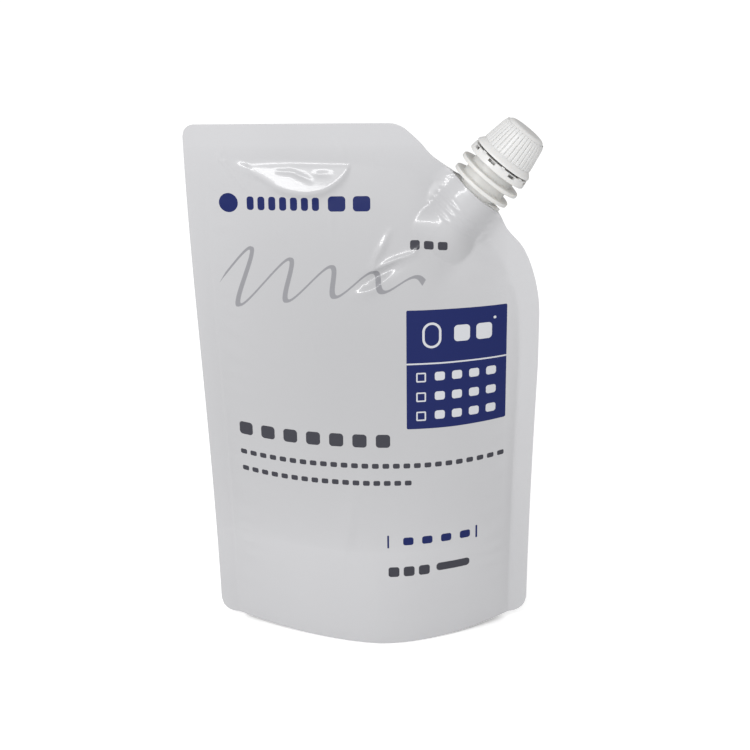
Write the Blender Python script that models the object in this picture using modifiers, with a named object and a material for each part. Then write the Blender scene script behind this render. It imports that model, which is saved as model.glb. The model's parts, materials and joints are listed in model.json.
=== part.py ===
"""A filled stand-up pouch with a corner spout, a tamper band and a screw cap.

Metres, +Z up, front towards -Y. The origin is the middle of the patch that the pouch stands on.
Pieces of the closure are drawn round the spout's own axis, with height 0 at the film's cut edge.
"""

import math

import bmesh
import bpy
from mathutils import Vector

# Film bag, sizes over the outside
POUCH_WIDTH = 0.112
POUCH_HEIGHT = 0.1725
BASE_DEPTH = 0.0345
SIDE_SEAL = 0.0060
TOP_SEAL = 0.0105
SEALED_FILM = 0.0005
TOP_CORNER_RADIUS = 0.0035
FOOT_CORNER_RADIUS = 0.0050
SWELL_POWER = 2.2
WAIST = 8.0
FOOT_LENS_POWER = 1.6
LENS_POWER = 2.3
LENS_CHANGE_HEIGHT = 0.060
LENS_SKEW = 0.07

# Slanted corner that carries the spout
SLANT_FROM_SIDE = 0.0457
SLANT_ANGLE = math.radians(42.0)
SLANT_TOP_RADIUS = 0.0090
SHOULDER_RADIUS = 0.050
SHOULDER_FROM_SIDE = 0.0015
SPOUT_SETTING = 0.0319
SPOUT_TILT = math.radians(39.0)
EDGE_DIPS = ((0.0100, 0.0011, 0.0030), (0.0335, 0.0016, 0.0040))

# Folded foot under the bag
SKIRT_HEIGHT = 0.0045
SKIRT_FILM = 0.0007
GUSSET_RISE = 0.0210
PATCH_LENGTH = 0.040
PATCH_SHARE = 0.55
CORNER_LIFTS = (0.0022, 0.0036)
LIFT_HEIGHT = 0.035

# How the film closes again below the boat, in boat heights
COVER_SPREAD = 1.6
COVER_REACH = 3.2
COVER_FADE = 2.0

# Spout, heights along its own axis
BOAT_HALF_LENGTH = 0.0093
BOAT_HALF_THICKNESS = 0.0062
BOAT_TIP_HALF = 0.0004
BOAT_FULLNESS = 1.15
BOAT_HEIGHT = 0.0115
BOAT_TOP = -0.0009
RIB_COUNT = 5
RIB_THICKNESS = 0.0009
RIB_PROUD = 0.0004
NECK_BASE_RADIUS = 0.0062
STOP_FLANGE_RADIUS = 0.0100
STOP_FLANGE_HEIGHT = 0.0020
RAIL_FLANGE_RADIUS = 0.0105
RAIL_FLANGE_HEIGHT = 0.0061
FLANGE_THICKNESS = 0.0012
COLLAR_RADIUS = 0.0073
BEAD_RADIUS = 0.0082
BEAD_HEIGHT = 0.0111
BEAD_THICKNESS = 0.0008
NECK_RADIUS = 0.0057
NECK_TOP = 0.0219
BORE_RADIUS = 0.0049

# Tamper band
BAND_RADIUS = 0.0102
BAND_WALL = 0.0013
BAND_BOTTOM = 0.0097
BAND_TOP = 0.0122
LIP_THICKNESS = 0.0010
WINDOW_COUNT = 8
WINDOW_WIDTH = 0.0026
WINDOW_HEIGHT = 0.0009
BRIDGE_WIDTH = 0.0012

# Screw cap and its sealing disc
CAP_SKIRT_RADIUS = 0.0099
CAP_BASE_RADIUS = 0.0088
CAP_TOP_RADIUS = 0.0072
CAP_SKIRT_HEIGHT = 0.0018
CAP_CROWN = 0.0010
CAP_TOP_PLATE = 0.0014
CAP_BORE_RADIUS = 0.0069
CAP_BORE_TOP_RADIUS = 0.0062
CAP_BORE_TAPER = 0.0035
CAP_LEAD_IN = 0.0012
FLUTE_COUNT = 36
FLUTE_DEPTH = 0.00032
LINER_RADIUS = 0.0058
LINER_THICKNESS = 0.0007

# Clearances between pieces, and the bevel on moulded edges
SEAT_GAP = 0.0003
SEALED_FIT = 0.0003
FILM_OVER_BOAT = 0.0005
EDGE_BREAK = 0.0003

# How finely the soft film is divided
SEAL_COLUMNS = 2
SWELL_COLUMNS = 26
ROUND_STEPS = 40

# Creases pressed into the front web: start and end (x, z), half width, depth outwards.
# The first list is measured from the spout's seat, the second from the square top corner.
SPOUT_CREASES = (
    ((-0.0095, -0.0147), (-0.0280, -0.0317), 0.0042, -0.0024),
    ((-0.0215, -0.0182), (-0.0320, -0.0287), 0.0030, 0.0010),
)
CORNER_CREASES = (
    ((0.0110, -0.0115), (0.0195, -0.0225), 0.0028, 0.0011),
    ((0.0190, -0.0145), (0.0460, -0.0155), 0.0060, 0.0008),
)


def smooth(value):
    """0 below 0, 1 above 1 and an even curve between."""
    value = min(1.0, max(0.0, value))
    return value * value * (3 - 2 * value)


def larger(a, b, rounding):
    """The larger of two lengths, with the corner between them rounded."""
    return 0.5 * (a + b + math.hypot(a - b, rounding))


# Outline of the bag


def swell(z):
    """Half of the bag's depth at the middle of the level z."""
    sealed = POUCH_HEIGHT - TOP_SEAL
    return BASE_DEPTH / 2 * max(0.0, 1 - (z / sealed) ** SWELL_POWER)


def half_width(z):
    """Half of the bag's width, which shrinks as the webs bow out between the side seals."""
    web = POUCH_WIDTH - 2 * SIDE_SEAL
    chord = 0.5 * (web + math.sqrt(web**2 - WAIST * swell(z) ** 2))
    return SIDE_SEAL + chord / 2


def foot_lift(x, z):
    """How far the filled bag pulls its bottom corners up off the surface."""
    clear = PATCH_LENGTH / 2
    away = max(0.0, (abs(x) - clear) / (half_width(0) - clear))
    return CORNER_LIFTS[x > 0] * away**1.5 * (1 - smooth(z / LIFT_HEIGHT))


def slant_start():
    """Where the line of the slanted edge meets the top edge."""
    return POUCH_WIDTH / 2 - SLANT_FROM_SIDE


def slant_x(z):
    """Where the slanted edge lies at the level z."""
    return slant_start() + (POUCH_HEIGHT - z) / math.tan(SLANT_ANGLE)


def slant_z(x):
    return POUCH_HEIGHT - (x - slant_start()) * math.tan(SLANT_ANGLE)


def spout_seat():
    """The point of the slanted edge that the spout's axis passes through."""
    x = slant_start() + SPOUT_SETTING * math.cos(SLANT_ANGLE)
    return x, slant_z(x)


def corner_tuck(drop, radius):
    """How far a round corner's edge lies inside the square corner, drop below its end."""
    if drop >= radius:
        return 0.0
    return radius - math.sqrt(radius**2 - (radius - drop) ** 2)


def shoulder():
    """Centre of the shoulder's arc, and the levels where the arc begins and ends."""
    corner_x = POUCH_WIDTH / 2 - SHOULDER_FROM_SIDE
    corner_z = slant_z(corner_x)
    reach = SHOULDER_RADIUS * math.tan((math.pi / 2 - SLANT_ANGLE) / 2)
    low = corner_z - reach
    return corner_x - SHOULDER_RADIUS, low, corner_z + reach * math.sin(SLANT_ANGLE)


def left_edge(z):
    tuck = corner_tuck(z, FOOT_CORNER_RADIUS) + corner_tuck(POUCH_HEIGHT - z, TOP_CORNER_RADIUS)
    return tuck - half_width(z)


def right_edge(z):
    drop = POUCH_HEIGHT - z
    dips = sum(depth * math.exp(-(((drop - level) / half) ** 2)) for level, depth, half in EDGE_DIPS)
    return plain_right_edge(z) - dips


def plain_right_edge(z):
    centre_x, low, high = shoulder()
    slant_end = SLANT_TOP_RADIUS * (1 - math.cos(SLANT_ANGLE))
    if z <= low:
        corner_x = centre_x + SHOULDER_RADIUS
        pulled = corner_x + (half_width(low) - corner_x) * (1 - smooth(z / low))
        return min(half_width(z), pulled) - corner_tuck(z, FOOT_CORNER_RADIUS)
    if z < high:
        arc = centre_x + math.sqrt(SHOULDER_RADIUS**2 - (z - low) ** 2)
        return min(half_width(z), arc)
    drop = POUCH_HEIGHT - z
    if drop > slant_end:
        return slant_x(z)
    start = slant_start() - SLANT_TOP_RADIUS * math.tan(SLANT_ANGLE / 2)
    return start + math.sqrt(max(0.0, SLANT_TOP_RADIUS**2 - (SLANT_TOP_RADIUS - drop) ** 2))


def right_seal(z):
    """Width of the right-hand seal along a level, wider where the edge slants."""
    low, high = shoulder()[1:]
    slanted = SIDE_SEAL / math.sin(SLANT_ANGLE)
    return SIDE_SEAL + (slanted - SIDE_SEAL) * smooth((z - low) / (high - low))


# Swelling of the film


def boat_half(along):
    """Half thickness of the spout's boat at a place along its length."""
    share = max(0.0, 1 - (along / BOAT_HALF_LENGTH) ** 2)
    return BOAT_TIP_HALF + (BOAT_HALF_THICKNESS - BOAT_TIP_HALF) * share**BOAT_FULLNESS


def spout_cover(x, z):
    """Half depth of the film where it wraps the boat."""
    seat_x, seat_z = spout_seat()
    along = (x - seat_x) * math.cos(SPOUT_TILT) - (z - seat_z) * math.sin(SPOUT_TILT)
    below = -(x - seat_x) * math.sin(SPOUT_TILT) - (z - seat_z) * math.cos(SPOUT_TILT)
    bare = RIB_PROUD + SEALED_FIT + FILM_OVER_BOAT
    spread = 1 + max(0.0, below - BOAT_HEIGHT) / (COVER_SPREAD * BOAT_HEIGHT)
    cover = boat_half(along / spread) + bare * smooth((1.35 - abs(along) / BOAT_HALF_LENGTH) / 0.3)
    return cover * smooth((COVER_REACH * BOAT_HEIGHT - below) / (COVER_FADE * BOAT_HEIGHT))


def crease_depth(creases, x, z):
    """Depth that creases add at a place measured from their own start, outwards positive."""
    total = 0.0
    for (x0, z0), (x1, z1), half, depth in creases:
        run = Vector((x1 - x0, z1 - z0))
        share = ((x - x0) * run.x + (z - z0) * run.y) / run.length_squared
        held = min(1.0, max(0.0, share))
        away = math.hypot(x - x0 - held * run.x, z - z0 - held * run.y)
        total += depth * math.exp(-((away / half) ** 2))
    return total


def lens(across, z):
    """Share of the full swelling at a place across the web: pointed at the foot, rounder above."""
    held = min(1.0, max(-1.0, across))
    power = FOOT_LENS_POWER + (LENS_POWER - FOOT_LENS_POWER) * smooth(z / LENS_CHANGE_HEIGHT)
    return 1 - abs(held - LENS_SKEW * (1 - held**2)) ** power


def film_half_depth(x, z, across, side):
    """Distance of the film from the middle plane; across is -1 and 1 at the seals' inner edges."""
    bow = swell(z) * lens(across, z)
    if side < 0:
        inside = smooth((1 - abs(across)) * 6) * smooth((POUCH_HEIGHT - TOP_SEAL - z) / 0.004)
        seat_x, seat_z = spout_seat()
        creased = crease_depth(SPOUT_CREASES, x - seat_x, z - seat_z)
        creased += crease_depth(CORNER_CREASES, x + POUCH_WIDTH / 2, z - POUCH_HEIGHT)
        bow = max(0.0, bow + creased * inside)
    flat = SEALED_FILM / 2
    return larger(flat + bow, flat + spout_cover(x, z), 0.0002)


# Building the bag


def stations(*bands):
    """Levels through bands of (end, number of steps), from 0 up."""
    levels, low = [0.0], 0.0
    for high, steps in bands:
        levels += [low + (high - low) * (k + 1) / steps for k in range(steps)]
        low = high
    return levels


def bag_levels():
    seat_z = spout_seat()[1]
    cover = (BOAT_HALF_LENGTH + BOAT_HEIGHT) * math.sin(SLANT_ANGLE)
    return stations(
        (FOOT_CORNER_RADIUS, 4),
        (3 * FOOT_CORNER_RADIUS, 3),
        (shoulder()[1], 22),
        (seat_z - cover, 7),
        (seat_z + cover / 2, 13),
        (POUCH_HEIGHT - TOP_CORNER_RADIUS, 4),
        (POUCH_HEIGHT, 4),
    )


def bag_columns():
    """Places across the bag: -2 and 2 are the cut edges, -1 and 1 the seals' inner edges."""
    seal = [2 - k / SEAL_COLUMNS for k in range(SEAL_COLUMNS)]
    web = [-math.cos(math.pi * (0.06 + 0.88 * k / SWELL_COLUMNS)) for k in range(SWELL_COLUMNS + 1)]
    web = [u / web[-1] for u in web]
    return [-u for u in seal] + web + seal[::-1]


def film_point(u, z, side):
    left, right = left_edge(z), right_edge(z)
    inner_left = left + SIDE_SEAL - corner_tuck(z, FOOT_CORNER_RADIUS)
    inner_right = right - right_seal(z) + corner_tuck(z, FOOT_CORNER_RADIUS)
    if u < -1:
        x = inner_left + (u + 1) * (inner_left - left)
    elif u > 1:
        x = inner_right + (u - 1) * (right - inner_right)
    else:
        x = inner_left + (u + 1) / 2 * (inner_right - inner_left)
    return Vector((x, side * film_half_depth(x, z, u, side), z + foot_lift(x, z)))


def add_sheet(mesh, column_count, row_count, place):
    """A grid whose vertices go where place(column, row) says."""
    grid = bmesh.ops.create_grid(mesh, x_segments=column_count - 1, y_segments=row_count - 1, size=1.0)
    for vert in grid["verts"]:
        column = round((vert.co.x + 1) / 2 * (column_count - 1))
        row = round((vert.co.y + 1) / 2 * (row_count - 1))
        vert.co = place(column, row)


def bag_mesh():
    """Front web, back web and the bag's underside, joined along their edges."""
    columns = bag_columns()
    across = [columns[0], *columns, columns[-1]]
    levels = bag_levels()
    up = [*levels, levels[-1]]

    def web(column, row, side):
        point = film_point(across[column], up[row], side)
        if column in (0, len(across) - 1) or row == len(up) - 1:
            point.y = 0
        return point

    bag = bmesh.new()
    add_sheet(bag, len(across), len(up), lambda column, row: web(column, row, -1))
    add_sheet(bag, len(across), len(up), lambda column, row: web(column, row, 1))
    add_sheet(bag, len(across), 2, lambda column, row: web(column, 0, 2 * row - 1))
    bmesh.ops.remove_doubles(bag, verts=bag.verts, dist=0.000005)
    bmesh.ops.dissolve_degenerate(bag, edges=bag.edges, dist=0.000005)
    bmesh.ops.recalc_face_normals(bag, faces=bag.faces)
    return bag


# Modelling helpers


def clear_scene():
    for obj in list(bpy.data.objects):
        bpy.data.objects.remove(obj)


def collection(name):
    made = bpy.data.collections.new(name)
    bpy.context.scene.collection.children.link(made)
    return made


def material(name, colour, roughness, coat=0.0):
    made = bpy.data.materials.new(name)
    made.use_nodes = True
    shader = made.node_tree.nodes["Principled BSDF"]
    shader.inputs["Base Color"].default_value = (*colour, 1)
    shader.inputs["Roughness"].default_value = roughness
    shader.inputs["Metallic"].default_value = 0.0
    shader.inputs["Coat Weight"].default_value = coat
    return made


def from_bmesh(name, source, home, parent=None):
    mesh = bpy.data.meshes.new(name)
    source.to_mesh(mesh)
    source.free()
    obj = bpy.data.objects.new(name, mesh)
    home.objects.link(obj)
    obj.parent = parent
    return obj


def baked(obj):
    """The object with its modifiers or curve made into one welded mesh."""
    bpy.context.view_layer.update()
    graph = bpy.context.evaluated_depsgraph_get()
    mesh = bpy.data.meshes.new_from_object(obj.evaluated_get(graph))
    made = bmesh.new()
    made.from_mesh(mesh)
    bpy.data.meshes.remove(mesh)
    bmesh.ops.remove_doubles(made, verts=made.verts, dist=0.000002)
    bmesh.ops.recalc_face_normals(made, faces=made.faces)
    name, home, parent, location = obj.name, obj.users_collection[0], obj.parent, obj.location.copy()
    bpy.data.objects.remove(obj)
    result = from_bmesh(name, made, home, parent)
    result.location = location
    return result


def turned(name, profile, home, parent, steps=ROUND_STEPS):
    """A solid of revolution. The profile of (radius, height) runs down the outside, top to bottom."""
    outline = bmesh.new()
    points = [outline.verts.new((radius, 0, height)) for radius, height in profile]
    for first, second in zip(points, points[1:]):
        outline.edges.new((first, second))
    if profile[0][0] > 0:
        outline.edges.new((points[-1], points[0]))
    obj = from_bmesh(name, outline, home, parent)
    screw = obj.modifiers.new("turn", "SCREW")
    screw.steps = screw.render_steps = steps
    screw.use_merge_vertices = True
    screw.merge_threshold = 0.000002
    screw.use_smooth_shade = False
    return obj


def flat_solid(name, outline, low, high, home, parent):
    """A flat outline in the plane across the spout's axis, given its thickness from low to high."""
    curve = bpy.data.curves.new(name, "CURVE")
    curve.dimensions = "2D"
    curve.fill_mode = "BOTH"
    curve.extrude = (high - low) / 2
    spline = curve.splines.new("POLY")
    spline.points.add(len(outline) - 1)
    for point, (x, y) in zip(spline.points, outline):
        point.co = (x, y, 0, 1)
    spline.use_cyclic_u = True
    obj = bpy.data.objects.new(name, curve)
    home.objects.link(obj)
    obj.parent = parent
    obj.location.z = (low + high) / 2
    return baked(obj)


def block(name, size, centre, turn, home, parent):
    """A box whose own X points away from the spout's axis at the angle turn."""
    cube = bmesh.new()
    bmesh.ops.create_cube(cube, size=1.0)
    bmesh.ops.scale(cube, vec=Vector(size), verts=cube.verts)
    obj = from_bmesh(name, cube, home, parent)
    obj.rotation_euler.z = turn
    obj.location = (centre[0] * math.cos(turn), centre[0] * math.sin(turn), centre[1])
    return obj


def join(target, other, operation):
    step = target.modifiers.new(other.name, "BOOLEAN")
    step.operation = operation
    step.object = other
    other.hide_render = True
    other.display_type = "WIRE"


def finish(obj, finish_material, smooth_angle=35):
    obj.data.materials.append(finish_material)
    obj.data.shade_smooth()
    obj.data.set_sharp_from_angle(angle=math.radians(smooth_angle))


# The pieces


def boat_outline(grow):
    """The boat's plan, a pointed oval, grown on all sides."""
    reach = BOAT_HALF_LENGTH + grow
    stops = [reach * math.sin(math.pi / 2 * k / 10) for k in range(-10, 11)]
    front = [(x, boat_half(x * BOAT_HALF_LENGTH / reach) + grow) for x in stops]
    return front + [(x, -y) for x, y in front[::-1]]


def gusset_recess(home):
    """What the folded foot leaves open under the bag: a groove inside the skirt, deeper at both ends."""
    reach = half_width(0) - SIDE_SEAL
    length_steps, cross_steps = 28, 10
    below = -0.002

    def place(column, row, roof):
        along = math.sin((2 * column / length_steps - 1) * math.pi / 2)
        across = 2 * row / cross_steps - 1
        x = along * (reach - 3 * SKIRT_FILM)
        room = max(0.00002, swell(0) * lens(x / reach, 0) - SKIRT_FILM)
        wall = smooth((abs(across) - PATCH_SHARE) / (0.9 - PATCH_SHARE))
        end = smooth((abs(x) - PATCH_LENGTH / 2) / (reach - PATCH_LENGTH / 2))
        height = SKIRT_HEIGHT * wall + (GUSSET_RISE - SKIRT_HEIGHT * wall) * end**1.5
        top = height if height > 0.0001 else -0.0005
        return Vector((x, across * room, top if roof else below))

    recess = bmesh.new()
    for roof in (True, False):
        add_sheet(recess, length_steps + 1, cross_steps + 1, lambda column, row: place(column, row, roof))
    rims = [edge for edge in recess.edges if edge.is_boundary]
    bmesh.ops.bridge_loops(recess, edges=rims)
    bmesh.ops.remove_doubles(recess, verts=recess.verts, dist=0.00001)
    bmesh.ops.recalc_face_normals(recess, faces=recess.faces)
    return from_bmesh("gusset_recess", recess, home)


def make_pouch(parts, cutters, axis, film):
    pouch = from_bmesh("filled_pouch", bag_mesh(), parts)
    join(pouch, gusset_recess(cutters), "DIFFERENCE")
    pocket = flat_solid(
        "boat_pocket",
        boat_outline(RIB_PROUD + SEALED_FIT),
        BOAT_TOP - BOAT_HEIGHT - SEALED_FIT,
        STOP_FLANGE_HEIGHT,
        cutters,
        axis,
    )
    join(pouch, pocket, "DIFFERENCE")
    finish(pouch, film, 50)


def make_spout(parts, cutters, axis, plastic):
    edge = EDGE_BREAK
    stop_top = STOP_FLANGE_HEIGHT + FLANGE_THICKNESS
    rail_top = RAIL_FLANGE_HEIGHT + FLANGE_THICKNESS
    bead_top = BEAD_HEIGHT + BEAD_THICKNESS
    profile = [
        (0, NECK_TOP),
        (NECK_RADIUS - edge, NECK_TOP),
        (NECK_RADIUS, NECK_TOP - edge),
        (NECK_RADIUS, bead_top + 2 * edge),
        (BEAD_RADIUS - edge, bead_top),
        (BEAD_RADIUS, BEAD_HEIGHT),
        (COLLAR_RADIUS, BEAD_HEIGHT),
        (COLLAR_RADIUS, rail_top),
        (RAIL_FLANGE_RADIUS, rail_top),
        (RAIL_FLANGE_RADIUS, RAIL_FLANGE_HEIGHT),
        (COLLAR_RADIUS, RAIL_FLANGE_HEIGHT),
        (COLLAR_RADIUS, stop_top),
        (STOP_FLANGE_RADIUS, stop_top),
        (STOP_FLANGE_RADIUS, STOP_FLANGE_HEIGHT),
        (NECK_BASE_RADIUS, STOP_FLANGE_HEIGHT),
        (BOAT_HALF_THICKNESS - edge, BOAT_TOP - edge),
        (BOAT_HALF_THICKNESS - edge, BOAT_TOP - BOAT_HEIGHT / 2),
        (0, BOAT_TOP - BOAT_HEIGHT / 2),
    ]
    spout = turned("spout", profile, parts, axis)
    bottom = BOAT_TOP - BOAT_HEIGHT
    join(spout, flat_solid("boat", boat_outline(0), bottom, BOAT_TOP, cutters, axis), "UNION")
    pitch = BOAT_HEIGHT / RIB_COUNT
    for k in range(RIB_COUNT):
        low = bottom + (k + 0.5) * pitch - RIB_THICKNESS / 2
        rib = flat_solid(f"rib_{k + 1}", boat_outline(RIB_PROUD), low, low + RIB_THICKNESS, cutters, axis)
        join(spout, rib, "UNION")
    bore = turned(
        "spout_bore",
        [(0, NECK_TOP + edge), (BORE_RADIUS, NECK_TOP + edge), (BORE_RADIUS, bottom - edge), (0, bottom - edge)],
        cutters,
        axis,
    )
    join(spout, bore, "DIFFERENCE")
    finish(spout, plastic)


def make_tamper_band(parts, cutters, axis, plastic):
    inside = BAND_RADIUS - BAND_WALL
    lip = COLLAR_RADIUS + SEAT_GAP
    lip_top = BAND_BOTTOM + LIP_THICKNESS
    profile = [
        (BAND_RADIUS - EDGE_BREAK, BAND_TOP),
        (BAND_RADIUS, BAND_BOTTOM + EDGE_BREAK),
        (BAND_RADIUS - EDGE_BREAK, BAND_BOTTOM),
        (lip, BAND_BOTTOM),
        (lip, lip_top),
        (inside, lip_top + EDGE_BREAK),
        (inside, BAND_TOP),
    ]
    band = turned("tamper_band", profile, parts, axis, steps=48)
    rise = cap_bottom() - SEAT_GAP - BAND_TOP
    for k in range(WINDOW_COUNT):
        turn = 2 * math.pi * (k + 0.5) / WINDOW_COUNT
        size = (2 * BAND_WALL + 0.002, WINDOW_WIDTH, WINDOW_HEIGHT)
        middle = (BAND_RADIUS, lip_top + 0.0004 + WINDOW_HEIGHT / 2)
        join(band, block(f"window_{k + 1}", size, middle, turn, cutters, axis), "DIFFERENCE")
        turn = 2 * math.pi * k / WINDOW_COUNT
        size = (BAND_WALL / 2, BRIDGE_WIDTH, rise + 0.0006)
        middle = (BAND_RADIUS - BAND_WALL / 2, BAND_TOP + rise - size[2] / 2)
        join(band, block(f"bridge_{k + 1}", size, middle, turn, cutters, axis), "UNION")
    finish(band, plastic)


def cap_bottom():
    """The cap's lower rim, just over the tamper band."""
    return BAND_TOP + 2 * SEAT_GAP


def cap_ceiling():
    """The underside of the cap's top plate, over the liner that seals the neck's rim."""
    return NECK_TOP + 2 * SEAT_GAP + LINER_THICKNESS


def make_cap(parts, cutters, axis, plastic):
    bottom, ceiling = cap_bottom(), cap_ceiling()
    top = ceiling + CAP_TOP_PLATE
    grip_top = top - CAP_CROWN
    grip_bottom = bottom + CAP_SKIRT_HEIGHT
    profile = [
        (0, top),
        (CAP_TOP_RADIUS - CAP_CROWN, top - 0.0001),
        (CAP_TOP_RADIUS - 0.3 * CAP_CROWN, top - 0.4 * CAP_CROWN),
        (CAP_TOP_RADIUS, grip_top),
        (CAP_BASE_RADIUS, grip_bottom),
        (CAP_BASE_RADIUS + EDGE_BREAK, grip_bottom - EDGE_BREAK),
        (CAP_SKIRT_RADIUS, bottom + 2 * EDGE_BREAK),
        (CAP_SKIRT_RADIUS, bottom),
        (0, bottom),
    ]
    cap = baked(turned("screw_cap", profile, parts, axis, steps=4 * FLUTE_COUNT))
    for vert in cap.data.vertices:
        fluted = grip_bottom - 0.00001 < vert.co.z < grip_top + 0.00001
        step = round(math.atan2(vert.co.y, vert.co.x) / (2 * math.pi) * 4 * FLUTE_COUNT)
        if fluted and step % 4 in (0, 1):
            away = Vector((vert.co.x, vert.co.y))
            shrink = 1 - FLUTE_DEPTH / away.length
            vert.co.x, vert.co.y = away.x * shrink, away.y * shrink
    cavity = [
        (0, ceiling),
        (CAP_BORE_TOP_RADIUS, ceiling),
        (CAP_BORE_RADIUS, ceiling - CAP_BORE_TAPER),
        (CAP_BORE_RADIUS, bottom + CAP_LEAD_IN),
        (CAP_BORE_RADIUS + CAP_LEAD_IN, bottom),
        (CAP_BORE_RADIUS + CAP_LEAD_IN, bottom - EDGE_BREAK),
        (0, bottom - EDGE_BREAK),
    ]
    join(cap, turned("cap_cavity", cavity, cutters, axis), "DIFFERENCE")
    finish(cap, plastic, 25)


def make_liner(parts, axis, foam):
    low = NECK_TOP + SEAT_GAP
    high = low + LINER_THICKNESS
    liner = turned("cap_liner", [(0, high), (LINER_RADIUS, high), (LINER_RADIUS, low), (0, low)], parts, axis)
    finish(liner, foam)


def main():
    clear_scene()
    parts = collection("spout_pouch")
    cutters = collection("cutters")
    axis = bpy.data.objects.new("spout_axis", None)
    parts.objects.link(axis)
    seat_x, seat_z = spout_seat()
    axis.location = (seat_x, 0, seat_z)
    axis.rotation_euler.y = SPOUT_TILT
    film = material("pearl_film", (0.62, 0.62, 0.64), 0.34, coat=0.4)
    spout_plastic = material("natural_polyethylene", (0.66, 0.65, 0.62), 0.42)
    cap_plastic = material("white_polypropylene", (0.76, 0.75, 0.73), 0.38)
    foam = material("liner_foam", (0.80, 0.80, 0.79), 0.8)
    make_pouch(parts, cutters, axis, film)
    make_spout(parts, cutters, axis, spout_plastic)
    make_tamper_band(parts, cutters, axis, cap_plastic)
    make_cap(parts, cutters, axis, cap_plastic)
    make_liner(parts, axis, foam)


main()
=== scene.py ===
"""Looks of a filled stand-up pouch: film bag with folds and printing, spout, tamper band, cap and stage.

Run as a script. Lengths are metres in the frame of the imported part: +Z up, printed front towards -Y.
Pieces of the closure are made round +Z with height 0 at the film's cut edge, then placed on the spout's axis.
"""

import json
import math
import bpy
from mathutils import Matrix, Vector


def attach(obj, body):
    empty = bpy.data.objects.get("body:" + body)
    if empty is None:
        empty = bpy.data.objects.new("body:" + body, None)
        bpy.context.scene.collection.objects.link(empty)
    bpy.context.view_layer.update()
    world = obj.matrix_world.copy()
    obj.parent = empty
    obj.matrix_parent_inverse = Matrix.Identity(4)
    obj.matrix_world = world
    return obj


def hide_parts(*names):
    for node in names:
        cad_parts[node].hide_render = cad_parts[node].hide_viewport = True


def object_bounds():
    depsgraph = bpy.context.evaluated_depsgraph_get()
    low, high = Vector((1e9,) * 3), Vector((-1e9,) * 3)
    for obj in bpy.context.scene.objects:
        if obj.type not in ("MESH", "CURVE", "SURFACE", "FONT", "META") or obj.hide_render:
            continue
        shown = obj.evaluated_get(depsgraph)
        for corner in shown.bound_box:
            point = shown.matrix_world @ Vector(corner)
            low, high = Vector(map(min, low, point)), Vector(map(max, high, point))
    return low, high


bl_info = {
    "name": "Spout Pouch Looks",
    "version": (1, 0, 0),
    "blender": (4, 5, 0),
    "location": "3D View > Sidebar > Spout Pouch",
    "description": "Film bag, spout, tamper band, screw cap and stage of a stand-up refill pouch",
    "category": "Add Mesh",
}

from functools import reduce

import bmesh
import bpy
from bpy.props import FloatProperty, FloatVectorProperty, IntProperty, PointerProperty
from bpy.types import Operator, Panel, PropertyGroup
from mathutils import Matrix, Vector, noise

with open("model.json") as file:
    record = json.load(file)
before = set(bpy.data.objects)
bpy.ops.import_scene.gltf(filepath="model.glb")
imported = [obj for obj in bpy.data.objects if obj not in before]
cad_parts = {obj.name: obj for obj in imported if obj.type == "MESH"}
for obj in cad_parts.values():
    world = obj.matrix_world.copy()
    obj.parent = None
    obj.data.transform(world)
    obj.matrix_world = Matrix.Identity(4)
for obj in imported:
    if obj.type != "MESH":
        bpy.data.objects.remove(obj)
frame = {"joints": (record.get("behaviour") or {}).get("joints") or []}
CAD_BOX = [list(corner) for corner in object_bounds()]

# Seat of the closure on the film's edge and the direction in which it points, from the cap's joint
CAP_JOINT = next(item for item in frame["joints"] if item["name"] == "cap_turn")
SEAT = Vector(CAP_JOINT["pos_m"])
AXIS = Vector(CAP_JOINT["axis"]).normalized()
TO_SEAT = Matrix.Translation(SEAT) @ Vector((0, 0, 1)).rotation_difference(AXIS).to_matrix().to_4x4()


# Sizes and colours


def metres(name, description, default):
    return FloatProperty(name=name, description=description, default=default, unit="LENGTH")


def degrees(name, description, default):
    return FloatProperty(name=name, description=description, default=math.radians(default), unit="ROTATION")


def positive(name, description, default):
    return FloatProperty(name=name, description=description, default=default, min=0)


def whole(name, description, default, least):
    return IntProperty(name=name, description=description, default=default, min=least)


def tint(name, description, default):
    kept = {"subtype": "COLOR", "min": 0, "max": 1}
    return FloatVectorProperty(name=name, description=description, default=default, **kept)


class BagSettings(PropertyGroup):
    """Film bag, sizes over the outside."""

    width: metres("Width", "Flat width of the bag", 0.112)
    height: metres("Height", "Height of the bag", 0.1725)
    depth: metres("Foot depth", "Depth of the standing foot", 0.0345)
    side_seal: metres("Side seal", "Width of the side seals", 0.006)
    top_seal: metres("Top seal", "Height of the top seal", 0.0105)
    film: metres("Sealed film", "Thickness of two webs sealed together", 0.0005)
    top_radius: metres("Top corner", "Radius of the square top corner", 0.0035)
    foot_radius: metres("Foot corners", "Radius of the bottom corners", 0.005)
    slant_angle: degrees("Slant", "Slope of the corner that carries the spout", 42)
    slant_radius: metres("Slant corner", "Radius between the top edge and the slant", 0.009)
    shoulder_radius: metres("Shoulder", "Radius between the slant and the side", 0.05)
    skirt: metres("Skirt height", "Height of the sealed skirt round the foot", 0.0045)
    gusset: metres("Gusset rise", "Height of the foot's fold at both sides", 0.021)
    columns: whole("Columns", "Steps across each web", 176, 24)
    rows: whole("Rows", "Steps up each web", 226, 40)
    pearl: tint("Film", "Pearl white film", (0.61, 0.61, 0.625))
    navy: tint("Panel ink", "Deep blue ink", (0.006, 0.015, 0.12))
    grey: tint("Flourish ink", "Mid grey ink", (0.30, 0.30, 0.32))
    dark: tint("Line ink", "Near black ink", (0.05, 0.05, 0.065))


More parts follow.
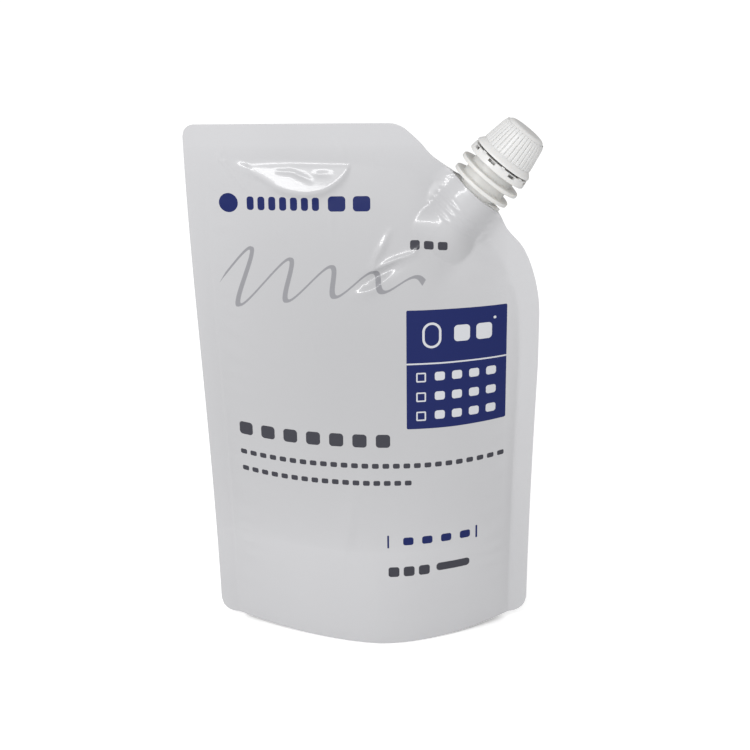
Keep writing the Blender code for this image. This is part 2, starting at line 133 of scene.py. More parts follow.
class ClosureSettings(PropertyGroup):
    """Spout, tamper band and cap, heights along the spout's axis."""

    boat_length: metres("Boat length", "Length of the part welded into the film", 0.0186)
    boat_depth: metres("Boat depth", "Thickness of the part welded into the film", 0.0124)
    boat_height: metres("Boat height", "How far the boat goes down", 0.0115)
    rib_count: whole("Boat ribs", "Welding ribs round the boat", 5, 2)
    flange_radius: metres("Stop flange", "Radius of the flange over the film", 0.01)
    rail_radius: metres("Rail flange", "Radius of the flange under the band", 0.0105)
    neck_radius: metres("Neck", "Radius of the threaded neck", 0.0057)
    bore_radius: metres("Bore", "Radius of the open bore", 0.0049)
    neck_top: metres("Neck top", "Height of the mouth", 0.0219)
    thread_lead: metres("Thread lead", "Lift of the cap in one turn", 0.005)
    band_radius: metres("Band", "Outer radius of the tamper band", 0.0102)
    window_count: whole("Windows", "Windows round the tamper band", 8, 3)
    cap_base: metres("Cap base", "Radius of the grip at its foot", 0.0088)
    cap_top: metres("Cap top", "Radius of the grip at its top", 0.0072)
    flute_count: whole("Flutes", "Grip ridges round the cap", 36, 8)
    natural: tint("Spout", "Milky moulded plastic", (0.74, 0.735, 0.715))
    white: tint("Cap", "White moulded plastic", (0.77, 0.765, 0.755))
    foam: tint("Liner", "Foam of the sealing disc", (0.78, 0.78, 0.77))


class StageSettings(PropertyGroup):
    """Camera, lamps and floor."""

    azimuth: degrees("Azimuth", "Camera turned round the bag", 2.75)
    elevation: degrees("Elevation", "Camera above the horizon", 21.54)
    roll: degrees("Roll", "Camera turned about its view", -0.94)
    distance: metres("Distance", "Camera to the point it looks at", 0.458)
    target: FloatVectorProperty(
        name="Target",
        description="Point the camera looks at",
        default=(0.00187, 0, 0.0903),
        subtype="XYZ",
        unit="LENGTH",
    )
    lens: FloatProperty(name="Lens", description="Focal length in millimetres", default=67.6, min=10)
    key_power: positive("Key", "Power of the main softbox in watts", 0.4)
    strip_power: positive("Strip", "Power of the strip light in watts", 0.4)
    world: positive("World", "Light from all round", 0.78)
    mirrored: positive("Mirrored world", "Brightness of the surroundings as shiny film mirrors them", 0.22)
    background: tint("Background", "Floor and backdrop", (1, 1, 1))


# Fixed shape of the bag. Lengths are metres, unless a comment says millimetres

MM = 0.001
SWELL_POWER = 2.2
WAIST = 8.0
FOOT_LENS_POWER = 1.6
LENS_POWER = 2.3
LENS_CHANGE_HEIGHT = 0.060
LENS_SKEW = 0.07
SLANT_FROM_SIDE = 0.0457
SHOULDER_FROM_SIDE = 0.0015
# Dips of the slanted edge: level, depth, half height
EDGE_DIPS = ((0.1625, 0.0011, 0.0030), (0.1390, 0.0016, 0.0040))
# The underside: film beside the skirt, half length of the flat patch, shares of the depth
SKIRT_FILM = 0.0007
PATCH_HALF = 0.020
PATCH_SHARE = 0.55
WALL_SHARE = 0.9
FOOT_POWER = 1.5
# Lift of the bottom corners, left and right
CORNER_LIFTS = (0.0022, 0.0036)
LIFT_HEIGHT = 0.035
CORNER_STEP = 15
# Columns over a side seal, from its cut edge at 2 towards the web at 1
SEAL_STEPS = (2.0, 1.9, 1.7, 1.5, 1.3, 1.12)
TOP_SEAL_ROWS = 8
FOOT_ROWS = 24

# The boat, and the film that wraps it
BOAT_TIP_HALF = 0.0004
BOAT_POWER = 1.15
BOAT_START = -0.0009
FILM_CLEARANCE = 0.0003
FILM_ON_BOAT = 0.0012
COVER_SPREAD = 1.6
COVER_SIDE = 1.35
COVER_SIDE_FADE = 0.3
COVER_END = 3.2
COVER_END_FADE = 2.0
COVER_ROUNDING = 0.0002
RIB_RISE = 0.00028
RIB_HALF = 0.00055
RIB_REACH = 0.0106
RIB_FADE = 0.0015

# Folds pressed into a web: start and end (x, z), half width, depth outwards
FRONT_FOLDS = (
    ((0.0146, 0.1330), (0.0025, 0.1284), 0.0015, 0.0008),
    ((0.0110, 0.1302), (-0.0002, 0.1244), 0.0018, -0.0013),
    ((0.0060, 0.1232), (-0.0035, 0.1198), 0.0018, 0.0006),
    ((0.0072, 0.1396), (0.0024, 0.1300), 0.0012, 0.0006),
    ((0.0330, 0.1380), (0.0230, 0.1220), 0.0040, -0.0008),
    ((-0.0408, 0.1645), (-0.0363, 0.1560), 0.0016, 0.0007),
    ((-0.0365, 0.1570), (-0.0290, 0.1535), 0.0010, -0.0004),
    ((-0.0273, 0.1583), (-0.0227, 0.1578), 0.0006, -0.0002),
    ((-0.0237, 0.1585), (-0.0168, 0.1556), 0.0007, -0.0003),
    ((-0.0155, 0.1573), (-0.0109, 0.1573), 0.0008, -0.0002),
    ((-0.0060, 0.0540), (-0.0085, 0.0300), 0.0030, 0.0005),
)
BACK_FOLDS = (
    ((0.0275, 0.1400), (0.0040, 0.1230), 0.0040, -0.0020),
    ((0.0250, 0.1440), (0.0000, 0.1280), 0.0014, 0.0005),
    ((-0.0420, 0.1600), (-0.0250, 0.1400), 0.0030, -0.0006),
    ((-0.0100, 0.1500), (-0.0060, 0.1280), 0.0022, 0.0004),
)
# A fold keeps this share of its depth at its ends
FOLD_END_SHARE = 0.35
FOLD_END = 0.03
# Sharp creases of the front in millimetres: half width, then points of (x, z, rise)
FRONT_CREASES = (
    (0.40, ((25.7, 145.9, 0.0), (22.5, 142.0, 0.12), (19.3, 138.1, 0.15), (14.6, 133.0, 0.20))),
    (0.55, ((14.6, 133.0, 0.20), (9.0, 131.4, 0.28), (3.3, 128.8, 0.28), (2.0, 127.7, 0.1))),
    (0.50, ((7.2, 139.6, 0.0), (4.4, 135.3, 0.18), (2.8, 131.8, 0.28), (2.0, 127.7, 0.2))),
    (0.80, ((13.6, 131.5, 0.0), (9.5, 128.7, 0.18), (5.3, 124.9, 0.30), (2.2, 122.4, 0.35))),
    (0.80, ((2.2, 122.4, 0.35), (-2.5, 121.0, 0.25), (-4.1, 121.2, 0.0))),
    (0.70, ((-42.6, 166.0, 0.0), (-45.5, 162.5, 0.25), (-43.7, 161.0, 0.38))),
    (0.80, ((-43.7, 161.0, 0.38), (-38.1, 153.6, 0.34), (-34.5, 150.6, 0.0))),
    (0.80, ((-29.2, 142.6, 0.0), (-26.5, 139.0, 0.16), (-24.0, 135.0, 0.0))),
    (0.90, ((-11.0, 149.5, 0.0), (-10.7, 143.0, 0.12), (-10.4, 136.0, 0.0))),
    (0.80, ((-19.0, 109.5, 0.0), (-16.5, 103.0, 0.16), (-14.0, 106.5, 0.0))),
    (0.90, ((43.3, 124.6, 0.0), (46.5, 122.0, 0.18), (49.7, 119.2, 0.0))),
    (1.00, ((-9.4, 170.0, 0.0), (-7.0, 164.5, 0.16), (-5.4, 160.5, 0.0))),
    (1.60, ((-5.5, 53.0, 0.0), (-7.0, 42.0, 0.22), (-8.3, 31.0, 0.0))),
)
# Beyond this many half widths a fold or crease has no effect
FOLD_REACH = 3

# The facet that leans back under the top seal
FACET_TOP = 0.1612
FACET_LEFT = -0.0378
FACET_RIGHT = -0.0045
FACET_SKEW = 0.16
FACET_DROP = 0.0090
FACET_DEPTH = 0.0019
FACET_POWER = 0.7
FACET_FADE = 0.0022

# The finer part of the mesh, right of and above these places, and its share of the steps
FINE_LEVEL = 0.117
FINE_ACROSS = 0.0
FINE_SHARE = 0.55

# All relief fades towards the seals
RELIEF_SIDE_SLOPE = 7
RELIEF_TOP_FADE = 0.003
# Slow swellings: waves a metre across and up, layer of the noise, share
UNDULATIONS = ((45, 16, 3.1, 1.0), (80, 42, 7.7, 0.5))
UNDULATION = 0.00035
# The back takes another part of the noise
BACK_SHIFT = 40.0
# Small puckers beside the side seals, of an uneven pitch
PUCKER = 0.00022
PUCKER_PITCH = 900
PUCKER_UNEVEN = 5
PUCKER_WAVES = 60
PUCKER_START = 0.70
PUCKER_FADE = 0.25
PUCKER_LOW = 0.004
PUCKER_LOW_FADE = 0.02
PUCKER_LEAST = 0.4


def smooth(value):
    """0 below 0, 1 above 1 and an even curve between."""
    value = min(1.0, max(0.0, value))
    return value * value * (3 - 2 * value)


def bell(away, half):
    """1 at 0, falling evenly to both sides, about a third at half."""
    return math.exp(-((away / half) ** 2))


def larger(a, b, rounding):
    """The larger of two lengths, with the corner between them rounded."""
    return 0.5 * (a + b + math.hypot(a - b, rounding))


def swell(bag, z):
    """Half of the bag's depth at the middle of the level z."""
    return bag.depth / 2 * max(0.0, 1 - (max(z, 0.0) / (bag.height - bag.top_seal)) ** SWELL_POWER)


def half_width(bag, z):
    """Half of the bag's width, drawn in where the webs bow out."""
    web = bag.width - 2 * bag.side_seal
    drawn_in = math.sqrt(web**2 - WAIST * swell(bag, z) ** 2)
    return bag.side_seal + (web + drawn_in) / 4


def foot_lift(bag, x, z):
    """How far the filled bag pulls its bottom corners up."""
    away = max(0.0, (abs(x) - PATCH_HALF) / (half_width(bag, 0) - PATCH_HALF))
    return CORNER_LIFTS[x > 0] * away**FOOT_POWER * (1 - smooth(z / LIFT_HEIGHT))


def slant_start(bag):
    return bag.width / 2 - SLANT_FROM_SIDE


def corner_tuck(drop, radius):
    """How far a round corner's edge lies inside the square corner."""
    if drop >= radius:
        return 0.0
    return radius - math.sqrt(max(0.0, radius**2 - (radius - drop) ** 2))


def shoulder(bag):
    """Centre of the shoulder's arc, and the levels where the arc begins and ends."""
    corner_x = bag.width / 2 - SHOULDER_FROM_SIDE
    corner_z = bag.height - (corner_x - slant_start(bag)) * math.tan(bag.slant_angle)
    reach = bag.shoulder_radius * math.tan((math.pi / 2 - bag.slant_angle) / 2)
    low = corner_z - reach
    return corner_x - bag.shoulder_radius, low, corner_z + reach * math.sin(bag.slant_angle)


def left_edge(bag, z):
    tuck = corner_tuck(z, bag.foot_radius) + corner_tuck(bag.height - z, bag.top_radius)
    return tuck - half_width(bag, z)


def right_edge(bag, z):
    centre_x, low, high = shoulder(bag)
    dips = sum(depth * bell(z - level, half) for level, depth, half in EDGE_DIPS)
    drop = bag.height - z
    if z <= low:
        corner_x = centre_x + bag.shoulder_radius
        pulled = corner_x + (half_width(bag, low) - corner_x) * (1 - smooth(z / low))
        edge = min(half_width(bag, z), pulled) - corner_tuck(z, bag.foot_radius)
    elif z < high:
        arc = centre_x + math.sqrt(bag.shoulder_radius**2 - (z - low) ** 2)
        edge = min(half_width(bag, z), arc)
    elif drop > bag.slant_radius * (1 - math.cos(bag.slant_angle)):
        edge = slant_start(bag) + drop / math.tan(bag.slant_angle)
    else:
        start = slant_start(bag) - bag.slant_radius * math.tan(bag.slant_angle / 2)
        edge = start + math.sqrt(max(0.0, bag.slant_radius**2 - (bag.slant_radius - drop) ** 2))
    return edge - dips


def right_seal(bag, z):
    """Width of the right-hand seal along a level, wider where the edge slants."""
    low, high = shoulder(bag)[1:]
    slanted = bag.side_seal / math.sin(bag.slant_angle)
    return bag.side_seal + (slanted - bag.side_seal) * smooth((z - low) / (high - low))


def lens(across, z):
    """Share of the full swelling at a place across the web: pointed at the foot, rounder above."""
    held = min(1.0, max(-1.0, across))
    power = FOOT_LENS_POWER + (LENS_POWER - FOOT_LENS_POWER) * smooth(z / LENS_CHANGE_HEIGHT)
    return 1 - abs(held - LENS_SKEW * (1 - held**2)) ** power


def boat_half(closure, along):
    """Half thickness of the boat at a place along its length."""
    share = max(0.0, 1 - (2 * along / closure.boat_length) ** 2)
    return BOAT_TIP_HALF + (closure.boat_depth / 2 - BOAT_TIP_HALF) * share**BOAT_POWER


def place_on_boat(x, z):
    """A point of the bag's middle plane as (along the boat, below the film's edge)."""
    right, up = x - SEAT.x, z - SEAT.z
    return right * AXIS.z - up * AXIS.x, -right * AXIS.x - up * AXIS.z


def spout_cover(closure, x, z):
    """Half depth of the film where it wraps the boat and its ribs."""
    along, below = place_on_boat(x, z)
    half_length, height = closure.boat_length / 2, closure.boat_height
    spread = 1 + max(0.0, below - height) / (COVER_SPREAD * height)
    cover = boat_half(closure, along / spread)
    cover += FILM_ON_BOAT * smooth((COVER_SIDE - abs(along) / half_length) / COVER_SIDE_FADE)
    return cover * smooth((COVER_END * height - below) / (COVER_END_FADE * height))


def rib_rise(closure, x, z):
    """How far the film stands out over the boat's welding ribs."""
    along, below = place_on_boat(x, z)
    down = below + BOAT_START
    if abs(along) > RIB_REACH or not 0 < down < closure.boat_height:
        return 0.0
    pitch = closure.boat_height / closure.rib_count
    from_crest = down % pitch - pitch / 2
    return RIB_RISE * bell(from_crest, RIB_HALF) * smooth((RIB_REACH - abs(along)) / RIB_FADE)


def beside(x, z, start, end):
    """Share of the way from start to end, past 0 and 1 too, and the distance from the line between them."""
    run_x, run_z = end[0] - start[0], end[1] - start[1]
    share = ((x - start[0]) * run_x + (z - start[1]) * run_z) / (run_x**2 + run_z**2)
    held = min(1.0, max(0.0, share))
    return share, math.hypot(x - start[0] - held * run_x, z - start[1] - held * run_z)


def crease_rise(x, z):
    """Height of the front's sharp creases at a place, the largest where they meet."""
    highest = 0.0
    for half, points in FRONT_CREASES:
        for start, end in zip(points, points[1:]):
            share, away = beside(x / MM, z / MM, start, end)
            if away < FOLD_REACH * half:
                rise = start[2] + min(1.0, max(0.0, share)) * (end[2] - start[2])
                highest = max(highest, rise * bell(away, half))
    return highest * MM


def fold_depth(folds, x, z):
    """Depth that a web's folds add at a place, outwards positive."""
    total = 0.0
    for start, end, half, depth in folds:
        share, away = beside(x, z, start, end)
        if away < FOLD_REACH * half:
            middle = math.sin(math.pi * min(1 - FOLD_END, max(FOLD_END, share)))
            total += depth * (FOLD_END_SHARE + (1 - FOLD_END_SHARE) * middle) * bell(away, half)
    return total


def facet_depth(x, z):
    """A lens-shaped facet that leans back under the top seal and ends in a curved fold."""
    share = (2 * x - FACET_LEFT - FACET_RIGHT) / (FACET_RIGHT - FACET_LEFT)
    if abs(share) >= 1 or z > FACET_TOP:
        return 0.0
    share -= FACET_SKEW * (1 - share**2)
    lens_shape = (1 - share**2) ** FACET_POWER
    drop = FACET_DROP * lens_shape
    down = (FACET_TOP - z) / max(drop, 0.1 * MM)
    fall = down if down < 1 else bell((down - 1) * drop, FACET_FADE)
    return FACET_DEPTH * lens_shape * fall


def web_relief(bag, x, z, across, side):
    """Fine shape of a web over its even swelling."""
    below_seal = bag.height - bag.top_seal - z
    inside = smooth((1 - abs(across)) * RELIEF_SIDE_SLOPE) * smooth(below_seal / RELIEF_TOP_FADE)
    if inside == 0:
        return 0.0
    if side < 0:
        shift, shape = 0.0, fold_depth(FRONT_FOLDS, x, z) + facet_depth(x, z)
    else:
        shift, shape = BACK_SHIFT, fold_depth(BACK_FOLDS, x, z)
    slow = sum(
        share * noise.noise(Vector((x * per_x + shift, z * per_z, layer)))
        for per_x, per_z, layer, share in UNDULATIONS
    )
    edge = smooth((abs(across) - PUCKER_START) / PUCKER_FADE) * smooth((z - PUCKER_LOW) / PUCKER_LOW_FADE)
    uneven = PUCKER_UNEVEN * noise.noise(Vector((z * PUCKER_WAVES, shift, across)))
    pucker = math.sin(z * PUCKER_PITCH + uneven) * edge
    return inside * (shape + UNDULATION * slow + PUCKER * pucker * (PUCKER_LEAST + abs(slow)))


def half_depth(bag, closure, x, z, across, side):
    """Distance of the film from the middle plane; across is -1 and 1 at the seals' inner edges."""
    bow = max(0.0, swell(bag, z) * lens(across, z) + web_relief(bag, x, z, across, side))
    flat = bag.film / 2
    depth = larger(flat + bow, flat + spout_cover(closure, x, z), COVER_ROUNDING) + rib_rise(closure, x, z)
    return depth + crease_rise(x, z) if side < 0 else depth


def web_point(bag, closure, across, z, side):
    """A point of the front or back web; across runs past -1 and 1 to -2 and 2 at the cut edges."""
    left, right = left_edge(bag, z), right_edge(bag, z)
    inner_left = left + bag.side_seal - corner_tuck(z, bag.foot_radius)
    inner_right = right - right_seal(bag, z) + corner_tuck(z, bag.foot_radius)
    if across < -1:
        x = inner_left + (across + 1) * (inner_left - left)
    elif across > 1:
        x = inner_right + (across - 1) * (right - inner_right)
    else:
        x = inner_left + (across + 1) / 2 * (inner_right - inner_left)
    depth = half_depth(bag, closure, x, z, across, side)
    return Vector((x, side * depth, z + foot_lift(bag, x, z)))


def stepped(*stops):
    """Places through stops of (start, end, count), the last end included."""
    places = []
    for start, end, count in stops:
        places += [start + (end - start) * k / count for k in range(count)]
    return [*places, stops[-1][1]]


def foot_rows():
    """Places across the foot: -1 to 1 at its walls, closer together there, and two steps past each."""
    even = [-1 + 2 * k / FOOT_ROWS for k in range(FOOT_ROWS + 1)]
    return [-3, -2, *((share + math.sin(share * math.pi / 2)) / 2 for share in even), 2, 3]


def bag_columns(bag):
    fine = round(bag.columns * FINE_SHARE)
    web = stepped((-1, FINE_ACROSS, bag.columns - fine), (FINE_ACROSS, 1, fine))
    return [-across for across in SEAL_STEPS] + web + list(SEAL_STEPS[::-1])


def corner_levels(radius):
    """Levels over a round corner, from its edge inwards."""
    return [radius * (1 - math.cos(math.radians(CORNER_STEP * k))) for k in range(90 // CORNER_STEP)]


def bag_levels(bag):
    foot = corner_levels(bag.foot_radius)
    top = [bag.height - drop for drop in corner_levels(bag.top_radius)]
    fine = round(bag.rows * FINE_SHARE)
    seal_low = bag.height - bag.top_seal
    middle = stepped(
        (bag.foot_radius, FINE_LEVEL, bag.rows - fine - TOP_SEAL_ROWS),
        (FINE_LEVEL, seal_low, fine),
        (seal_low, bag.height - bag.top_radius, TOP_SEAL_ROWS),
    )
    return foot[:-1] + middle + top[-2::-1]


def add_sheet(mesh, column_count, row_count, place):
    """A grid whose vertices go where place(column, row) says."""
    grid = bmesh.ops.create_grid(mesh, x_segments=column_count - 1, y_segments=row_count - 1, size=1.0)
    for vert in grid["verts"]:
        column = round((vert.co.x + 1) / 2 * (column_count - 1))
        row = round((vert.co.y + 1) / 2 * (row_count - 1))
        vert.co = place(column, row)


def foot_point(bag, closure, across, row_share):
    """Underside of the bag: skirt, groove inside it, and the gusset that bulges to the surface."""
    side = -1 if row_share < 0 else 1
    edge = web_point(bag, closure, across, 0.0, side)
    reach = half_width(bag, 0) - bag.side_seal
    room = abs(edge.y) - SKIRT_FILM
    if abs(row_share) > 2:
        return edge
    if abs(row_share) > 1 or abs(across) > 1 or room <= 0:
        return Vector((edge.x, side * max(0.0, room), edge.z))
    wall = smooth((abs(row_share) - PATCH_SHARE) / (WALL_SHARE - PATCH_SHARE))
    end = smooth((abs(edge.x) - PATCH_HALF) / (reach - PATCH_HALF))
    height = bag.skirt * wall + (bag.gusset - bag.skirt * wall) * end**FOOT_POWER
    return Vector((edge.x, row_share * room, edge.z + height))


# Meshes and modifiers

SMOOTH_ANGLE = 32
MERGE = 0.000002
SHEET_MERGE = 0.00001
ARC_STEPS = 4


def link(obj):
    bpy.context.scene.collection.objects.link(obj)
    return obj


def shaded(mesh, smooth_angle):
    mesh.shade_smooth()
    mesh.set_sharp_from_angle(angle=math.radians(smooth_angle))


def from_bmesh(name, source, smooth_angle=SMOOTH_ANGLE):
    mesh = bpy.data.meshes.new(name)
    source.to_mesh(mesh)
    source.free()
    shaded(mesh, smooth_angle)
    return link(bpy.data.objects.new(name, mesh))


def baked(obj):
    """The object with its modifiers or curve made into a plain mesh."""
    bpy.context.view_layer.update()
    graph = bpy.context.evaluated_depsgraph_get()
    mesh = bpy.data.meshes.new_from_object(obj.evaluated_get(graph))
    name = obj.name
    bpy.data.objects.remove(obj)
    return link(bpy.data.objects.new(name, mesh))


def clean(obj, smooth_angle=SMOOTH_ANGLE):
    """Doubles merged, normals outwards, and sharp edges marked."""
    work = bmesh.new()
    work.from_mesh(obj.data)
    bmesh.ops.remove_doubles(work, verts=work.verts, dist=MERGE)
    bmesh.ops.recalc_face_normals(work, faces=work.faces)
    work.to_mesh(obj.data)
    work.free()
    shaded(obj.data, smooth_angle)
    return obj


def turned(name, profile, steps=144):
    """A solid of revolution round +Z. The profile of (radius, height) runs down the outside."""
    outline = bmesh.new()
    points = [outline.verts.new((radius, 0, height)) for radius, height in profile]
    for first, second in zip(points, points[1:]):
        outline.edges.new((first, second))
    if profile[0][0] > 0:
        outline.edges.new((points[-1], points[0]))
    obj = from_bmesh(name, outline)
    screw = obj.modifiers.new("turn", "SCREW")
    screw.steps = screw.render_steps = steps
    screw.use_merge_vertices = True
    screw.merge_threshold = MERGE
    return clean(baked(obj))


def rounded_profile(corners):
    """A profile from (radius, height, rounding): each corner with a rounding gets a short arc."""
    profile = []
    for index, (radius, height, rounding) in enumerate(corners):
        here = Vector((radius, height))
        if rounding == 0 or index in (0, len(corners) - 1):
            profile.append(here)
            continue
        before = Vector(corners[index - 1][:2]) - here
        after = Vector(corners[index + 1][:2]) - here
        start = here + before.normalized() * min(rounding, before.length / 2)
        end = here + after.normalized() * min(rounding, after.length / 2)
        for k in range(ARC_STEPS + 1):
            t = k / ARC_STEPS
            profile.append(start * (1 - t) ** 2 + here * 2 * t * (1 - t) + end * t**2)
    return [(max(0.0, point.x), point.y) for point in profile]


def prism(name, outline, low, high, bevel):
    """A flat outline given thickness from low to high, its edges rounded."""
    curve = bpy.data.curves.new(name, "CURVE")
    curve.dimensions = "2D"
    curve.fill_mode = "BOTH"
    curve.extrude = (high - low) / 2
    spline = curve.splines.new("POLY")
    spline.points.add(len(outline) - 1)
    for point, (x, y) in zip(spline.points, outline):
        point.co = (x, y, 0, 1)
    spline.use_cyclic_u = True
    obj = clean(baked(link(bpy.data.objects.new(name, curve))))
    obj.data.transform(Matrix.Translation((0, 0, (low + high) / 2)))
    if bevel > 0:
        step = obj.modifiers.new("edges", "BEVEL")
        step.width = bevel
        step.segments = 2
        step.limit_method = "ANGLE"
        step.angle_limit = math.radians(50)
        obj = clean(baked(obj))
    return obj


def subtract(obj, cutter, smooth_angle=SMOOTH_ANGLE):
    step = obj.modifiers.new("cut", "BOOLEAN")
    step.operation = "DIFFERENCE"
    step.object = cutter
    made = clean(baked(obj), smooth_angle)
    bpy.data.objects.remove(cutter)
    return made


def joined(name, pieces, smooth_angle=SMOOTH_ANGLE):
    """Several made pieces as one mesh."""
    work = bmesh.new()
    for piece in pieces:
        work.from_mesh(piece.data)
        bpy.data.objects.remove(piece)
    return from_bmesh(name, work, smooth_angle)


# Node trees


class Value:
    """An output of a node. Arithmetic on it adds Math nodes to the same tree."""

    def __init__(self, socket):
        self.socket = socket
        self.tree = socket.id_data

    def math(self, operation, *others):
        return math_node(self.tree, operation, self, *others)

    def __add__(self, other):
        return self.math("ADD", other)

    def __sub__(self, other):
        return self.math("SUBTRACT", other)

    def __rsub__(self, other):
        return math_node(self.tree, "SUBTRACT", other, self)

    def __mul__(self, other):
        return self.math("MULTIPLY", other)

    def __truediv__(self, other):
        return self.math("DIVIDE", other)

    def __abs__(self):
        return self.math("ABSOLUTE")

    def __lt__(self, other):
        return self.math("LESS_THAN", other)

    def __gt__(self, other):
        return self.math("GREATER_THAN", other)


def feed(node, inputs):
    """Sets each input to a plain value, or wires it to a Value."""
    for key, value in inputs.items():
        if isinstance(value, Value):
            value.tree.links.new(value.socket, node.inputs[key])
        else:
            node.inputs[key].default_value = value


def outputs(node):
    """A node's outputs by name."""
    return {socket.name: Value(socket) for socket in node.outputs}


def add_node(tree, kind, inputs=None, output=0, **settings):
    """A new node with its settings and inputs. Returns one of its outputs."""
    node = tree.nodes.new(kind)
    for key, value in settings.items():
        setattr(node, key, value)
    feed(node, inputs or {})
    return Value(node.outputs[output])


def math_node(tree, operation, *numbers):
    return add_node(tree, "ShaderNodeMath", dict(enumerate(numbers)), operation=operation)


def new_tree(name, kind, inputs, result, result_kind):
    """A tree, its inputs by name, and the node that takes its result.

    inputs gives each input's default number, or the name of its kind where it has none.
    """
    tree = bpy.data.node_groups.new(name, kind)
    kinds = {int: "Int", float: "Float"}
    for label, default in inputs.items():
        socket_kind = kinds.get(type(default), default)
        socket = tree.interface.new_socket(name=label, in_out="INPUT", socket_type=f"NodeSocket{socket_kind}")
        if socket_kind != default:
            socket.default_value = default
    tree.interface.new_socket(name=result, in_out="OUTPUT", socket_type=f"NodeSocket{result_kind}")
    return tree, outputs(tree.nodes.new("NodeGroupInput")), tree.nodes.new("NodeGroupOutput")


def shared_tree(name, maker):
    return bpy.data.node_groups.get(name) or maker()


# Geometry Nodes


def geometry_tree(name, inputs):
    inputs = {"Shape": "Geometry", **inputs, "Finish": "Material"}
    return new_tree(name, "GeometryNodeTree", inputs, "Shape", "Geometry")


def realized(tree, shape, given, out):
    """Ends a tree: its instances made real and given the finish."""
    real = add_node(tree, "GeometryNodeRealizeInstances", {0: shape})
    painted = add_node(tree, "GeometryNodeSetMaterial", {"Geometry": real, "Material": given["Finish"]})
    feed(out, {0: painted})
    return tree


def copies_tree():
    """Repeats the incoming shape, each copy turned about +Z and moved along it."""
    tree, given, out = geometry_tree("axis_copies", {"Count": 2, "Turn": 0.0, "Rise": 0.0})
    index = add_node(tree, "GeometryNodeInputIndex")
    place = add_node(tree, "ShaderNodeCombineXYZ", {"Z": index * given["Rise"]})
    spin = add_node(tree, "ShaderNodeCombineXYZ", {"Z": index * given["Turn"]})
    points = add_node(tree, "GeometryNodePoints", {"Count": given["Count"], "Position": place})
    rotation = add_node(tree, "FunctionNodeEulerToRotation", {0: spin})
    copies = add_node(
        tree,
        "GeometryNodeInstanceOnPoints",
        {"Points": points, "Instance": given["Shape"], "Rotation": rotation},
    )
    return realized(tree, copies, given, out)


def thread_tree():
    """A helical ridge round +Z, swept from a spiral and a small round section."""
    amounts = {"Radius": 0.006, "Turns": 1.0, "Rise": 0.005, "Ridge": 0.0006}
    tree, given, out = geometry_tree("thread_helix", amounts)
    radius, turns = given["Radius"], given["Turns"]
    spiral = add_node(
        tree,
        "GeometryNodeCurveSpiral",
        {
            "Resolution": 72,
            "Rotations": turns,
            "Start Radius": radius,
            "End Radius": radius,
            "Height": given["Rise"],
        },
    )
    ridge = {"Resolution": 10, "Radius": given["Ridge"]}
    section = add_node(tree, "GeometryNodeCurvePrimitiveCircle", ridge)
    sweep = {"Curve": spiral, "Profile Curve": section, "Fill Caps": True}
    return realized(tree, add_node(tree, "GeometryNodeCurveToMesh", sweep), given, out)


def grown(obj, tree, smooth_angle=SMOOTH_ANGLE, **amounts):
    """The object's mesh after a Geometry Nodes tree, with the tree's inputs set by name."""
    step = obj.modifiers.new(tree.name, "NODES")
    step.node_group = tree
    for item in tree.interface.items_tree:
        if item.item_type == "SOCKET" and item.in_out == "INPUT" and item.name in amounts:
            step[item.identifier] = amounts[item.name]
    return clean(baked(obj), smooth_angle)


def copied(obj, count, finish, turn=0.0, rise=0.0, smooth_angle=SMOOTH_ANGLE):
    """Copies of a closure's piece round its axis or along it, as one mesh."""
    tree = shared_tree("axis_copies", copies_tree)
    return grown(obj, tree, smooth_angle, Count=count, Turn=turn, Rise=rise, Finish=finish)


def finished(obj, material, body, node, place=TO_SEAT):
    """Places a piece, gives it its finish, and ties it to the CAD part."""
    obj.data.transform(place)
    obj.data.materials.clear()
    obj.data.materials.append(material)
    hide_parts(node)
    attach(obj, body)


# Shader building


def new_material(name):
    made = bpy.data.materials.new(name)
    made.use_nodes = True
    return made, made.node_tree, made.node_tree.nodes["Principled BSDF"]


def rgba(colour, share=1.0):
    """A colour for a node, made darker or lighter by a share."""
    return (*(min(1.0, share * part) for part in colour), 1)


def mixed(share, first, second):
    """A mix of two colours by a share. Each colour is plain or a Value."""
    inputs = {"Factor": share, "A": first, "B": second}
    return add_node(share.tree, "ShaderNodeMix", inputs, "Result", data_type="RGBA")


def noise_at(place, scale, detail):
    inputs = {"Vector": place, "Scale": scale, "Detail": detail}
    return add_node(place.tree, "ShaderNodeTexNoise", inputs, "Fac")


def stretched_noise(place, stretch, detail):
    stretched = add_node(place.tree, "ShaderNodeMapping", {"Vector": place, "Scale": stretch})
    return noise_at(stretched, 1.0, detail)


def object_place(tree):
    return add_node(tree, "ShaderNodeTexCoord", output="Object")


def shader_group(name, inputs, result):
    """A shader group with number inputs, a Place input and one output."""
    return new_tree(name, "ShaderNodeTree", {"Place": "Vector", **inputs}, result, "Float")


def use_group(group, place, **amounts):
    return add_node(place.tree, "ShaderNodeGroup", {"Place": place, **amounts}, node_tree=group)


def split(place):
    """The x, y and z of a place."""
    first = add_node(place.tree, "ShaderNodeSeparateXYZ", {0: place})
    return list(outputs(first.socket.node).values())


def block_distance(x, z, half_x, half_z, corner):
    """Distance outside a rounded rectangle round 0."""
    over_x = abs(x) - (half_x - corner)
    over_z = abs(z) - (half_z - corner)
    out_x, out_z = over_x.math("MAXIMUM", 0.0), over_z.math("MAXIMUM", 0.0)
    outside = (out_x * out_x + out_z * out_z).math("SQRT")
    return outside + over_x.math("MAXIMUM", over_z).math("MINIMUM", 0.0) - corner


